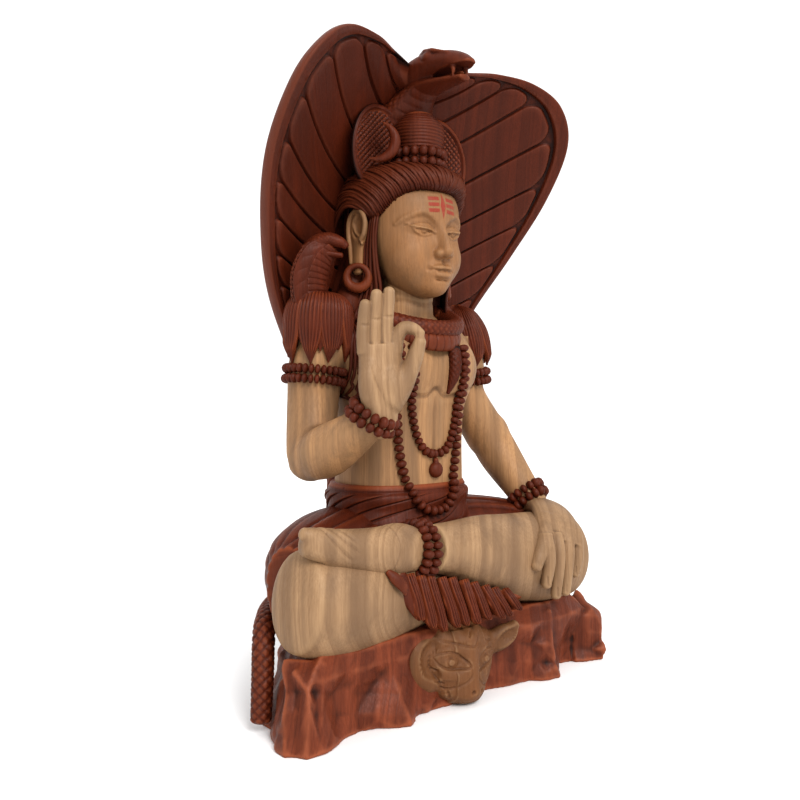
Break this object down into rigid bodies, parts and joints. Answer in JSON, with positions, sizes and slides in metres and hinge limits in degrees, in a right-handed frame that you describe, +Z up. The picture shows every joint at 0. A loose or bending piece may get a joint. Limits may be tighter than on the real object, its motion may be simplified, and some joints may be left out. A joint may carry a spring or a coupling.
{
  "type": "carved wooden shiva figure",
  "caption": "Seated Shiva carved in wood with its rock, one hand raised, under the spread hood of a cobra; stands on its flat underside.",
  "frame": {"origin": "middle of the flat underside of the rock, on the surface it stands on", "axes": "+Z up, +X to the figure's left, +Y to its back"},
  "size_m": [0.3236, 0.1623, 0.4891],
  "materials": {
    "carved_wood": "red-brown stain with a satin wax; the bare skin and the tiger's mask are left in pale unstained wood"
  },
  "bodies": {
    "root": {"shiva_carving": "carved_wood"}
  },
  "joints": []
}
